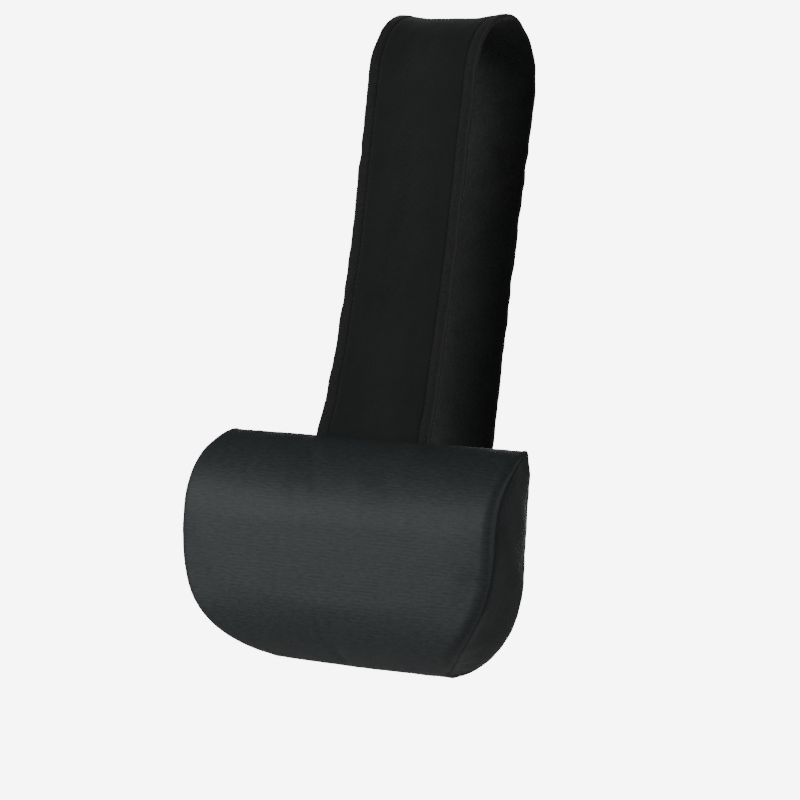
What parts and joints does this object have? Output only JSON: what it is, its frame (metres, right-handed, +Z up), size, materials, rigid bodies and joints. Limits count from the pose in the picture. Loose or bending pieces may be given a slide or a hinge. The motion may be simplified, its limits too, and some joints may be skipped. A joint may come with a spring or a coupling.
{
  "type": "lumbar support cushion",
  "caption": "Half-round foam cushion in a zipped cover, hung on a wide velour strap that passes over a chair's back to a weighted pouch.",
  "frame": {"origin": "middle of the strap's crest, on its underside, where it sits on top of a chair's back", "axes": "+Z up, +X across the chair, -Y towards the sitter; the cushion hangs in front at -Y and the weighted pouch behind at +Y"},
  "size_m": [0.32, 0.2177, 0.6314],
  "materials": {
    "velour": "short-pile black velour, soft sheen",
    "ribbed_knit": "charcoal ribbed knit velour, soft sheen",
    "interlining": "matt felt-like non-woven",
    "foam": "open-cell viscoelastic foam, matt",
    "liner": "thin white tricot",
    "label": "blank satin ribbon",
    "zip_tape": "woven polyester tape",
    "zip_coil": "nylon coil",
    "zip_metal": "black enamel",
    "bag_cotton": "grey cotton twill",
    "steel_shot": "fine steel shot",
    "loop_strip": "nylon loops",
    "hook_strip": "nylon hooks"
  },
  "bodies": {
    "saddle": {"strap_outer_crest": "velour", "strap_interlining_crest": "interlining", "strap_inner_crest": "velour"},
    "front_strap": {"strap_outer_front": "velour", "strap_interlining_front": "interlining", "strap_inner_front": "velour"},
    "cushion": {"foam_core": "foam", "foam_liner": "liner", "cover_face_panel": "ribbed_knit", "cover_end_panel_left": "velour", "cover_end_panel_right": "velour", "cover_back_panel_upper": "velour", "cover_back_panel_lower": "velour", "strap_end_allowance": "velour", "care_label": "label", "zip_tape_upper": "zip_tape", "zip_tape_lower": "zip_tape", "zip_coil_upper": "zip_coil", "zip_coil_lower": "zip_coil", "zip_stop_left": "zip_metal", "zip_stop_right": "zip_metal"},
    "zip_slider": {"zip_slider": "zip_metal"},
    "zip_pull": {"zip_pull": "zip_metal"},
    "rear_strap": {"strap_outer_rear": "velour", "strap_interlining_rear": "interlining", "strap_inner_rear": "velour"},
    "counterweight": {"pouch_inner_panel": "velour", "pouch_outer_panel": "velour", "shot_bag": "bag_cotton", "shot_fill": "steel_shot", "loop_strip": "loop_strip"},
    "flap": {"pouch_flap": "velour", "hook_strip": "hook_strip"}
  },
  "joints": [
    {"name": "front_fold", "type": "hinge", "parent": "saddle", "child": "front_strap", "pos_m": [0, -0.064, -0.06], "axis": [-1, 0, 0], "range_deg": [0, 90]},
    {"name": "cushion_fold", "type": "hinge", "parent": "front_strap", "child": "cushion", "pos_m": [0, -0.064, -0.415], "axis": [-1, 0, 0], "range_deg": [0, 90]},
    {"name": "zip_slide", "type": "slide", "parent": "cushion", "child": "zip_slider", "axis": [-1, 0, 0], "range_m": [0, 0.2286]},
    {"name": "zip_pull_fold", "type": "hinge", "parent": "zip_slider", "child": "zip_pull", "pos_m": [0.1144, -0.03809, -0.58101], "axis": [0, 0.1392, -0.9903], "range_deg": [0, 150]},
    {"name": "rear_fold", "type": "hinge", "parent": "saddle", "child": "rear_strap", "pos_m": [0, 0.064, -0.06], "axis": [1, 0, 0], "range_deg": [0, 90]},
    {"name": "weight_fold", "type": "hinge", "parent": "rear_strap", "child": "counterweight", "pos_m": [0, 0.064, -0.444], "axis": [1, 0, 0], "range_deg": [0, 60]},
    {"name": "flap_fold", "type": "hinge", "parent": "counterweight", "child": "flap", "pos_m": [0, 0.082, -0.444], "axis": [1, 0, 0], "range_deg": [0, 120]}
  ]
}
